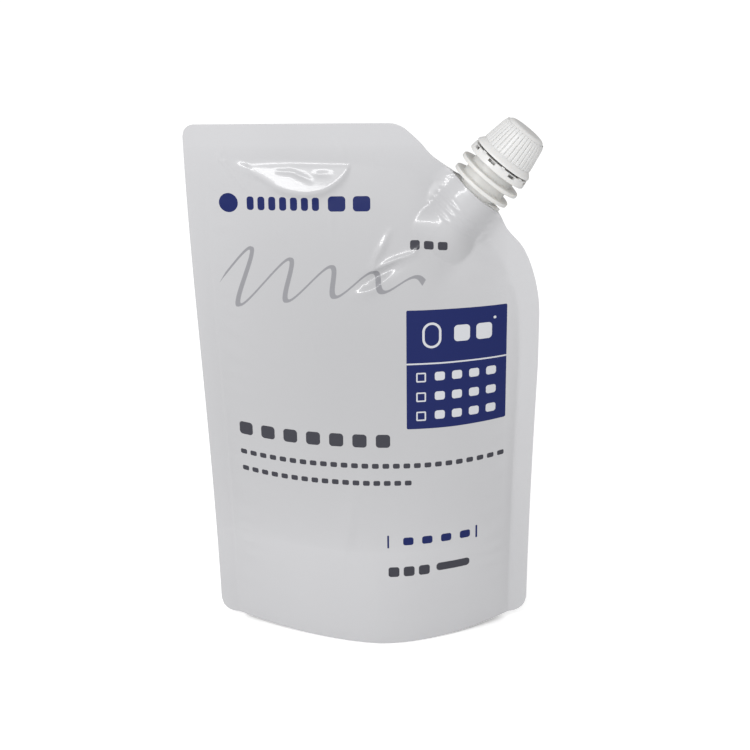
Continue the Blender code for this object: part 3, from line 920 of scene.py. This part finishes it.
def print_block_group():
    """A filled or outlined rounded rectangle on the front, repeated along X."""
    inputs = {"Left": 0.0, "Level": 0.0, "Pitch": 1.0, "Count": 1.0}
    inputs |= {"Width": 0.01, "Height": 0.01, "Corner": 0.001, "Line": 1.0}
    tree, given, out = shader_group("print_blocks", inputs, "Mask")
    x, y, z = split(given["Place"])
    turn = (x - given["Left"]) / given["Pitch"]
    index = turn.math("FLOOR")
    local = (turn.math("FRACT") - 0.5) * given["Pitch"]
    half_x, half_z = given["Width"] * 0.5, given["Height"] * 0.5
    away = block_distance(local, z - given["Level"], half_x, half_z, given["Corner"])
    inked = (away < 0.0) * (away > given["Line"] * -1.0)
    counted = (index > -0.5) * (index < given["Count"] - 0.5)
    feed(out, {0: inked * counted * (y < 0.0)})
    return tree


def flourish_group():
    """A slanted wavy brush line that shrinks along its run."""
    inputs = {"Left": 0.0, "Right": 0.1, "Level": 0.1, "Swing": 0.01}
    inputs |= {"Waves": 4.0, "Slant": 0.4, "Line": 0.0005}
    tree, given, out = shader_group("print_flourish", inputs, "Mask")
    x, y, z = split(given["Place"])
    height = z - given["Level"]
    length = given["Right"] - given["Left"]
    share = (x - height * given["Slant"] - given["Left"]) / length
    whole_turn = given["Waves"] * (2 * math.pi)
    turn = share * whole_turn
    swing = given["Swing"] * (1.15 - share.math("MAXIMUM", 0.0).math("POWER", 0.6))
    steep = turn.math("COSINE") * (swing / length) * whole_turn
    widen = (steep * steep + 1.0).math("SQRT")
    pen = given["Line"] * (turn.math("COSINE") * -0.35 + 1.0)
    on_line = abs(height - turn.math("SINE") * swing) < pen * widen
    feed(out, {0: on_line * ((share > 0.0) * (share < 1.0)) * (y < 0.0)})
    return tree


def painted_middle_shade_group():
    """Painted shade that darkens the film towards the middle of the bag: 1 in the middle, 0 at its seals."""
    inputs = {"Centre": -0.008, "Half width": 0.052, "Level": 0.100, "Half height": 0.066}
    tree, given, out = shader_group("painted_middle_shade", inputs, "Mask")
    x, _, z = split(given["Place"])
    across = (x - given["Centre"]) / given["Half width"]
    up = (z - given["Level"]) / given["Half height"]
    inside = (1.0 - across * across).math("MAXIMUM", 0.0) * (1.0 - up * up).math("MAXIMUM", 0.0)
    feed(out, {0: inside.math("POWER", 0.6)})
    return tree


def moulded_skin_group():
    """Faint flow marks of moulded plastic, as a height."""
    tree, given, out = shader_group("moulded_skin", {"Grain": 900.0}, "Height")
    feed(out, {0: noise_at(given["Place"], given["Grain"], 3.0)})
    return tree


# Printed layout on the front in millimetres: left, level, pitch, count, width, height, corner, line
SOLID = 1000.0
NAVY_BLOCKS = (
    (-45.8, 148.3, 6.0, 1, 6.0, 6.0, 3.0, SOLID),
    (-37.6, 148.3, 3.4, 7, 2.2, 4.2, 0.9, SOLID),
    (-12.8, 148.3, 7.7, 2, 5.4, 4.6, 1.2, SOLID),
    (12.4, 96.3, 31.8, 1, 31.8, 38.4, 0.5, SOLID),
    (9.6, 38.1, 6.2, 4, 3.4, 2.8, 0.8, SOLID),
    (5.6, 38.1, 1.0, 1, 0.6, 4.6, 0.2, SOLID),
    (34.6, 38.1, 1.0, 1, 0.6, 4.6, 0.2, SOLID),
)
DARK_BLOCKS = (
    (13.0, 135.7, 4.3, 3, 3.0, 2.9, 0.7, SOLID),
    (-44.3, 73.2, 7.55, 7, 4.6, 4.4, 1.1, SOLID),
    (-43.4, 64.7, 3.38, 26, 2.2, 1.7, 0.5, SOLID),
    (-43.0, 58.8, 3.38, 17, 2.2, 1.7, 0.5, SOLID),
    (5.4, 27.0, 5.0, 3, 3.6, 3.6, 0.9, SOLID),
    (21.6, 27.4, 11.6, 1, 11.0, 2.9, 1.2, SOLID),
)
# The panel's three rows: level of the outlined square and of the blocks beside it
PANEL_ROWS = ((94.0, 94.2), (87.6, 87.8), (81.3, 81.5))
WHITE_BLOCKS = (
    (12.4, 98.4, 31.8, 1, 31.8, 0.5, 0.1, SOLID),
    (17.2, 107.4, 6.4, 1, 6.0, 8.2, 3.0, 0.75),
    (26.4, 107.6, 7.0, 2, 5.0, 5.2, 1.2, SOLID),
    (39.8, 111.6, 1.0, 1, 0.9, 0.9, 0.45, SOLID),
    *((15.3, square, 3.4, 1, 3.1, 3.1, 0.4, 0.45) for square, _ in PANEL_ROWS),
    *((20.2, blocks, 5.45, 4, 3.2, 2.8, 0.8, SOLID) for _, blocks in PANEL_ROWS),
)
FLOURISH = {
    "Left": -46 * MM,
    "Right": 18 * MM,
    "Level": 124 * MM,
    "Swing": 10.5 * MM,
    "Waves": 4.5,
    "Slant": 0.6,
    "Line": 0.55 * MM,
}
WHITE_INK = (0.62, 0.63, 0.66)
# Tone of the film in its clouds, and of the painted shade over its middle, as shares of its colour
CLOUDED = 0.94
PAINTED_MIDDLE_SHADE = 0.81
FILM_COAT = 0.7
INK_COAT = 0.2
FILM_WAVES = 0.0004


def ink_mask(group, place, blocks):
    """All blocks of one ink as one mask."""
    masks = []
    for left, level, pitch, count, width, height, corner, line in blocks:
        amounts = {"Left": left, "Level": level, "Pitch": pitch, "Width": width}
        amounts |= {"Height": height, "Corner": corner, "Line": line}
        in_metres = {label: amount * MM for label, amount in amounts.items()}
        masks.append(use_group(group, place, Count=count, **in_metres))
    return reduce(lambda first, second: first.math("MAXIMUM", second), masks)


def film_material(bag):
    made, tree, shader = new_material("pearl_film")
    place = object_place(tree)
    cloud = stretched_noise(place, (30, 30, 12), 2.0)
    colour = mixed(cloud, rgba(bag.pearl), rgba(bag.pearl, CLOUDED))
    # Painted shade: the film darker towards the middle of the bag
    colour = mixed(use_group(painted_middle_shade_group(), place), colour, rgba(bag.pearl, PAINTED_MIDDLE_SHADE))
    colour = mixed(use_group(flourish_group(), place, **FLOURISH), colour, rgba(bag.grey))
    blocks = print_block_group()
    colour = mixed(ink_mask(blocks, place, DARK_BLOCKS), colour, rgba(bag.dark))
    navy = ink_mask(blocks, place, NAVY_BLOCKS)
    white = ink_mask(blocks, place, WHITE_BLOCKS)
    colour = mixed(white, mixed(navy, colour, rgba(bag.navy)), rgba(WHITE_INK))
    inked = navy * (1.0 - white)
    fine = stretched_noise(place, (60, 60, 160), 3.0)
    coarse = stretched_noise(place, (22, 22, 9), 2.0)
    waves = (fine * 0.25 + coarse) * FILM_WAVES
    looks = {
        "Base Color": colour,
        "Roughness": 0.32,
        "Coat Weight": (1.0 - inked * (1 - INK_COAT)) * FILM_COAT,
        "Coat Roughness": 0.08,
        "Normal": add_node(tree, "ShaderNodeBump", {"Distance": 1.0, "Height": waves}),
    }
    feed(shader, looks)
    return made


def edge_material(bag):
    """The film's cut edge and its end round the boat: pearl white made about a third lighter than the film as
    painted light, dull and with no gloss coat.
    """
    made, tree, shader = new_material("film_edge_painted_light")
    cloud = noise_at(object_place(tree), 300.0, 2.0)
    # Painted light: a third lighter than the film, so the rim and the end round the boat show light instead
    # of shaded
    colour = mixed(cloud, rgba(bag.pearl, 1.34), rgba(bag.pearl, 1.26))
    feed(shader, {"Base Color": colour, "Roughness": 0.8, "Specular IOR Level": 0.1})
    return made


def plastic_material(name, colour, roughness, translucence):
    made, tree, shader = new_material(name)
    place = object_place(tree)
    skin = use_group(shared_tree("moulded_skin", moulded_skin_group), place)
    looks = {
        "Base Color": mixed(noise_at(place, 140.0, 2.0), rgba(colour), rgba(colour, 0.96)),
        "Roughness": roughness,
        "Subsurface Weight": translucence,
        "Subsurface Scale": 0.002,
        "Subsurface Radius": (1.0, 0.9, 0.8),
        "Normal": add_node(tree, "ShaderNodeBump", {"Strength": 0.15, "Distance": 0.0001, "Height": skin}),
    }
    feed(shader, looks)
    return made


def shared_plastic(name, *looks):
    return bpy.data.materials.get(name) or plastic_material(name, *looks)


# Pieces

FILM_ANGLE = 40
POCKET_TOP = 0.002
# How far the film's open end reaches down round the boat
MOUTH_DEPTH = 0.0015
# Limits on a face's normal: a cut edge looks along the film's plane, and not down
EDGE_TILT = 0.35
EDGE_DOWN = -0.8
BOAT_TOP = 0.0002
BOAT_STEPS = 24
BORE_CUT = 0.03
# The boat's welding ribs
RIB_PROUD = 0.0004
RIB_LOW = 0.0006
RIB_THICK = 0.001
# The cap's grip ridges
RIDGE_ANGLE = 50
RIDGE_SHARE = 0.84
RIDGE_GROOVE = 0.00034
RIDGE_SUNK = 0.0002
RIDGE_FLATNESS = 6
RIDGE_NARROWING = 0.15
# Both threads
THREAD_SUNK = 0.0001
THREAD_RIDGE = 0.0005
THREAD_STARTS = 2


class POUCH_OT_film_bag(Operator):
    """Film bag: front and back webs with their seals and folds, and the folded foot"""

    bl_idname = "pouch.film_bag"
    bl_label = "Film Bag"

    def execute(self, context):
        bag, closure = context.scene.pouch_bag, context.scene.pouch_closure
        columns, levels = bag_columns(bag), bag_levels(bag)
        columns, levels = [columns[0], *columns, columns[-1]], [*levels, levels[-1]]
        shares = foot_rows()

        def web(column, row, side):
            point = web_point(bag, closure, columns[column], levels[row], side)
            if column in (0, len(columns) - 1) or row == len(levels) - 1:
                point.y = 0
            return point

        def foot(column, row):
            point = foot_point(bag, closure, columns[column], shares[row])
            if column in (0, len(columns) - 1):
                point.y = 0
            return point

        work = bmesh.new()
        for side in (-1, 1):
            add_sheet(work, len(columns), len(levels), lambda column, row: web(column, row, side))
        add_sheet(work, len(columns), len(shares), foot)
        bmesh.ops.remove_doubles(work, verts=work.verts, dist=SHEET_MERGE)
        bmesh.ops.dissolve_degenerate(work, edges=work.edges, dist=MERGE)
        bmesh.ops.recalc_face_normals(work, faces=work.faces)
        if any(edge.is_boundary for edge in work.edges):
            raise RuntimeError("the bag's sheets do not close")
        pocket_low = boat_foot(closure) - FILM_CLEARANCE
        pocket = prism("boat_pocket", boat_outline(closure, FILM_CLEARANCE), pocket_low, POCKET_TOP, 0)
        pocket.data.transform(TO_SEAT)
        obj = subtract(from_bmesh("film_bag", work, FILM_ANGLE), pocket, FILM_ANGLE)
        finished(obj, film_material(bag), "pouch", "filled_pouch", place=Matrix())
        # The rim and the end round the boat get the lighter edge colour, painted light
        obj.data.materials.append(edge_material(bag))
        for face in obj.data.polygons:
            face.material_index = int(on_cut_edge(bag, closure, face))
        return {"FINISHED"}


def on_cut_edge(bag, closure, face):
    """True for the faces of the film's outer rim and of its end round the boat."""
    along, below = place_on_boat(face.center.x, face.center.z)
    round_boat = abs(along) < closure.boat_length and below < MOUTH_DEPTH
    on_rim = abs(face.center.y) < 2 * bag.film and face.normal.z > EDGE_DOWN
    return abs(face.normal.y) < EDGE_TILT and (on_rim or round_boat)


class POUCH_OT_spout(Operator):
    """Spout: ribbed boat, flanges, threaded neck and bore"""

    bl_idname = "pouch.spout"
    bl_label = "Spout"

    def execute(self, context):
        closure = context.scene.pouch_closure
        plastic = shared_plastic("natural_plastic", closure.natural, 0.36, 0.25)
        neck, bore, top = closure.neck_radius, closure.bore_radius, closure.neck_top
        waist, collar, bead = 0.0062, 0.0073, 0.0082
        bead_top, bead_low = 0.0119, 0.0111
        rail, rail_top, rail_low = closure.rail_radius, 0.0073, 0.0061
        flange, flange_top, flange_low = closure.flange_radius, 0.0032, 0.0020
        boat_low = boat_foot(closure)
        outside = [
            (bore, top, 0),
            (neck, top, 0.0003),
            (neck, bead_top + 0.0003, 0.0003),
            (bead, bead_top, 0.0003),
            (bead, bead_low, 0.0002),
            (collar, bead_low, 0.0003),
            (collar, rail_top, 0.0004),
            (rail, rail_top, 0.0003),
            (rail, rail_low, 0.0003),
            (collar, rail_low, 0.0004),
            (collar, flange_top, 0.0004),
            (flange, flange_top, 0.0003),
            (flange, flange_low, 0.0003),
            (waist, flange_low, 0.0004),
            (closure.boat_depth / 2 - 0.0003, boat_low, 0),
            (bore, boat_low, 0),
        ]
        body = turned("spout_body", rounded_profile(outside))
        boat = prism("boat", boat_outline(closure, 0), boat_low, BOAT_TOP, 0.0003)
        rib_low = boat_low + RIB_LOW
        rib = prism("rib", boat_outline(closure, RIB_PROUD), rib_low, rib_low + RIB_THICK, 0.0003)
        bore_profile = [(0, BORE_CUT), (bore, BORE_CUT), (bore, -BORE_CUT), (0, -BORE_CUT)]
        boat, rib = (subtract(solid, turned("bore_cut", bore_profile)) for solid in (boat, rib))
        pitch = closure.boat_height / closure.rib_count
        ribs = copied(rib, closure.rib_count, plastic, rise=pitch)
        thread_low, thread_turns = 0.0132, 1.35
        thread = thread_ridge("neck_thread", closure, neck + THREAD_SUNK, thread_low, thread_turns, plastic)
        finished(joined("spout_moulding", [body, boat, ribs, thread]), plastic, "pouch", "spout")
        return {"FINISHED"}


class POUCH_OT_tamper_band(Operator):
    """Tamper band: ring with windows and broken bridges, left on the neck"""

    bl_idname = "pouch.tamper_band"
    bl_label = "Tamper Band"

    def execute(self, context):
        closure = context.scene.pouch_closure
        plastic = shared_plastic("white_plastic", closure.white, 0.34, 0.15)
        radius, inside, lip = closure.band_radius, closure.band_radius - 0.0013, 0.0076
        low, high, under_cap = 0.0097, 0.0122, 0.0125
        outside = [
            (inside, high, 0.0002),
            (radius - 0.0003, high, 0.0002),
            (radius, low, 0.0004),
            (lip, low, 0.0002),
            (lip, low + 0.001, 0.0002),
            (inside, low + 0.0013, 0.0002),
            (inside, high, 0),
        ]
        ring = turned("tamper_ring", rounded_profile(outside))
        count, turn = closure.window_count, 2 * math.pi / closure.window_count
        window_size, window_level = (0.0046, 0.0026, 0.0009), low + 0.00185
        window = box_piece("window", window_size, (radius, 0, window_level), turn / 2)
        ring = subtract(ring, copied(window, count, plastic, turn))
        thick, wide, tall = 0.00065, 0.0012, 0.0009
        bridge = box_piece("bridge", (thick, wide, tall), (radius - thick, 0, under_cap - tall / 2), 0)
        bridges = copied(bridge, count, plastic, turn)
        finished(joined("tamper_ring", [ring, bridges]), plastic, "pouch", "tamper_band")
        return {"FINISHED"}


class POUCH_OT_screw_cap(Operator):
    """Screw cap: fluted cone with a plain skirt, hollow and threaded inside"""

    bl_idname = "pouch.screw_cap"
    bl_label = "Screw Cap"

    def execute(self, context):
        closure = context.scene.pouch_closure
        plastic = shared_plastic("white_plastic", closure.white, 0.34, 0.15)
        bottom, grip_low, ceiling, top = 0.0128, 0.0146, 0.0232, 0.0246
        base, crown = closure.cap_base - RIDGE_GROOVE, closure.cap_top - RIDGE_GROOVE
        skirt, mouth, wall, seat = closure.cap_base + 0.0011, 0.0081, 0.0069, 0.0062
        outside = [
            (0, top, 0),
            (crown - 0.0012, top, 0.0009),
            (crown, top - 0.0011, 0.0008),
            (base, grip_low + 0.0004, 0.0003),
            (closure.cap_base + 0.0003, grip_low - 0.0003, 0.0003),
            (skirt, bottom + 0.0006, 0.0003),
            (skirt, bottom, 0.0002),
            (mouth, bottom, 0.0002),
            (wall, bottom + 0.0012, 0.0002),
            (wall, ceiling - 0.0035, 0.0003),
            (seat, ceiling, 0.0004),
            (0, ceiling, 0),
        ]
        shell = turned("cap_shell", rounded_profile(outside), steps=180)
        ridge = ridge_piece(closure, base, crown, grip_low + 0.0002, top - 0.0010)
        turn = 2 * math.pi / closure.flute_count
        ridges = copied(ridge, closure.flute_count, plastic, turn, smooth_angle=RIDGE_ANGLE)
        thread_low = 0.0145 + closure.thread_lead / 4
        thread = thread_ridge("cap_thread", closure, wall - THREAD_SUNK, thread_low, 1.0, plastic)
        pieces = [shell, ridges, thread]
        finished(joined("fluted_cap", pieces, RIDGE_ANGLE), plastic, "cap", "screw_cap")
        return {"FINISHED"}


class POUCH_OT_cap_liner(Operator):
    """Cap liner: foam disc that seals the spout's mouth"""

    bl_idname = "pouch.cap_liner"
    bl_label = "Cap Liner"

    def execute(self, context):
        closure = context.scene.pouch_closure
        foam = shared_plastic("liner_foam", closure.foam, 0.75, 0.0)
        low, high, radius = 0.0222, 0.0229, 0.0058
        outside = [(0, high, 0), (radius, high, 0.0001), (radius, low, 0.0001), (0, low, 0)]
        disc = turned("sealing_disc", rounded_profile(outside))
        finished(disc, foam, "seal", "cap_liner")
        return {"FINISHED"}


def boat_foot(closure):
    """Height of the boat's underside."""
    return BOAT_START - closure.boat_height


def boat_outline(closure, grow):
    """The boat's plan, a pointed oval, grown on all sides."""
    half_length = closure.boat_length / 2
    reach = half_length + grow
    turns = range(-BOAT_STEPS, BOAT_STEPS + 1)
    stops = [reach * math.sin(math.pi / 2 * k / BOAT_STEPS) for k in turns]
    front = [(x, boat_half(closure, x * half_length / reach) + grow) for x in stops]
    return front + [(x, -y) for x, y in front[::-1]]


def box_piece(name, size, centre, turn):
    """A small block set off from the axis and turned about it."""
    cube = bmesh.new()
    bmesh.ops.create_cube(cube, size=1.0)
    bmesh.ops.scale(cube, vec=Vector(size), verts=cube.verts)
    bmesh.ops.translate(cube, vec=Vector(centre), verts=cube.verts)
    bmesh.ops.rotate(cube, matrix=Matrix.Rotation(turn, 3, "Z"), verts=cube.verts)
    return from_bmesh(name, cube, 30)


def ridge_piece(closure, base, crown, low, high):
    """One grip ridge, a rounded bar that follows the cap's cone and runs out at its top."""
    width = 2 * math.pi * closure.cap_base / closure.flute_count * RIDGE_SHARE
    rows, across = 16, 16

    def place(column, row):
        share = row / rows
        side = math.sin(math.pi * (column / across - 0.5))
        radius = base + (crown - base) * share
        # Full height in the middle, less over the top sixth and at the foot
        ends = smooth((1.02 - share) * 6) * smooth(share * 12 + 0.35)
        lift = RIDGE_GROOVE * math.sqrt(max(0.0, 1 - side**RIDGE_FLATNESS)) * ends
        sunk = RIDGE_SUNK if column in (0, across) else 0.0
        half = width / 2 * (1 - RIDGE_NARROWING * share)
        return Vector((radius + lift - sunk, side * half, low + (high - low) * share))

    ridge = bmesh.new()
    add_sheet(ridge, across + 1, rows + 1, place)
    rims = [edge for edge in ridge.edges if edge.is_boundary]
    bmesh.ops.holes_fill(ridge, edges=rims, sides=0)
    bmesh.ops.recalc_face_normals(ridge, faces=ridge.faces)
    return from_bmesh("cap_ridge", ridge, 60)


def thread_ridge(name, closure, radius, low, turns, plastic):
    """A thread ridge of two starts round the axis."""
    seed = link(bpy.data.objects.new(name, bpy.data.meshes.new(name)))
    rise = turns * closure.thread_lead
    amounts = {"Radius": radius, "Turns": turns, "Rise": rise, "Ridge": THREAD_RIDGE}
    ridge = grown(seed, shared_tree("thread_helix", thread_tree), Finish=plastic, **amounts)
    starts = copied(ridge, THREAD_STARTS, plastic, 2 * math.pi / THREAD_STARTS)
    starts.data.transform(Matrix.Translation((0, 0, low)))
    return starts


# Stage

LAMP_AIM = Vector((0, 0, 0.09))
SIDE_SHARE = 1.4
FLOOR_GAP = 0.0002
FLOOR_GLOW = 0.3


class POUCH_OT_stage(Operator):
    """Stage: floor, world, lamps and the camera at the photograph's angle"""

    bl_idname = "pouch.stage"
    bl_label = "Stage"

    def execute(self, context):
        stage = context.scene.pouch_stage
        add_floor(stage)
        add_world(stage)
        add_lamp("key_softbox", stage.key_power, (0.20, 0.14), (-0.30, -0.55, 0.52))
        add_lamp("side_strip", stage.strip_power * SIDE_SHARE, (0.40, 0.04), (-0.40, -0.46, 0.44))
        add_lamp("top_strip", stage.strip_power, (0.30, 0.05), (-0.06, -0.36, 0.36))
        add_camera(stage)
        context.scene.view_settings.view_transform = "Standard"
        return {"FINISHED"}


def light_path(tree):
    """Masks of the rays that come straight from the camera and of those mirrored by shiny surfaces."""
    rays = outputs(tree.nodes.new("ShaderNodeLightPath"))
    return rays["Is Camera Ray"].math("MAXIMUM", rays["Is Transmission Ray"]), rays["Is Glossy Ray"]


def add_floor(stage):
    grid = bmesh.new()
    bmesh.ops.create_grid(grid, x_segments=1, y_segments=1, size=3.0)
    floor = from_bmesh("floor", grid)
    made, tree, shader = new_material("floor_white")
    seen, glossy = light_path(tree)
    looks = {
        "Base Color": mixed(glossy, rgba(stage.background), rgba(stage.background, stage.mirrored)),
        "Roughness": 1.0,
        "Specular IOR Level": 0.0,
        "Emission Color": rgba(stage.background),
        "Emission Strength": seen * FLOOR_GLOW,
    }
    feed(shader, looks)
    floor.data.materials.append(made)
    floor.location.z = CAD_BOX[0][2] - FLOOR_GAP


def add_world(stage):
    world = bpy.data.worlds.new("studio")
    bpy.context.scene.world = world
    world.use_nodes = True
    seen, glossy = light_path(world.node_tree)
    strength = seen * (1 - stage.world) + stage.world - glossy * (stage.world - stage.mirrored)
    paper = world.node_tree.nodes["Background"]
    feed(paper, {"Color": rgba(stage.background), "Strength": strength})


def add_lamp(name, power, size, place):
    lamp = bpy.data.lights.new(name, "AREA")
    lamp.shape = "RECTANGLE"
    lamp.size, lamp.size_y = size
    lamp.energy = power
    obj = link(bpy.data.objects.new(name, lamp))
    obj.location = place
    obj.rotation_euler = (LAMP_AIM - Vector(place)).to_track_quat("-Z", "Y").to_euler()


def add_camera(stage):
    camera = bpy.data.cameras.new("camera")
    camera.sensor_width = 36
    camera.lens = stage.lens
    camera.clip_start, camera.clip_end = 0.01, 20
    obj = link(bpy.data.objects.new("camera", camera))
    around, up = stage.azimuth, stage.elevation
    back = Vector((math.sin(around) * math.cos(up), -math.cos(around) * math.cos(up), math.sin(up)))
    turn = (-back).to_track_quat("-Z", "Y").to_matrix() @ Matrix.Rotation(stage.roll, 3, "Z")
    obj.matrix_world = Matrix.Translation(Vector(stage.target) + back * stage.distance) @ turn.to_4x4()
    bpy.context.scene.camera = obj


class POUCH_PT_panel(Panel):
    """Lists the pieces of the pouch and its stage"""

    bl_label = "Spout Pouch"
    bl_idname = "POUCH_PT_panel"
    bl_space_type = "VIEW_3D"
    bl_region_type = "UI"
    bl_category = "Spout Pouch"

    def draw(self, context):
        for operator in OPERATORS:
            self.layout.operator(operator.bl_idname)
        for name in SETTINGS:
            group = getattr(context.scene, name)
            box = self.layout.box()
            for key in group.__annotations__:
                box.prop(group, key)


SETTINGS = {"pouch_bag": BagSettings, "pouch_closure": ClosureSettings, "pouch_stage": StageSettings}
OPERATORS = (
    POUCH_OT_film_bag,
    POUCH_OT_spout,
    POUCH_OT_tamper_band,
    POUCH_OT_screw_cap,
    POUCH_OT_cap_liner,
    POUCH_OT_stage,
)
CLASSES = (*SETTINGS.values(), *OPERATORS, POUCH_PT_panel)


def register():
    for cls in CLASSES:
        bpy.utils.register_class(cls)
    for name, cls in SETTINGS.items():
        setattr(bpy.types.Scene, name, PointerProperty(type=cls))


def unregister():
    for name in SETTINGS:
        delattr(bpy.types.Scene, name)
    for cls in reversed(CLASSES):
        bpy.utils.unregister_class(cls)


def main():
    register()
    bpy.ops.pouch.film_bag()
    bpy.ops.pouch.spout()
    bpy.ops.pouch.tamper_band()
    bpy.ops.pouch.screw_cap()
    bpy.ops.pouch.cap_liner()
    bpy.ops.pouch.stage()


if __name__ == "__main__":
    main()
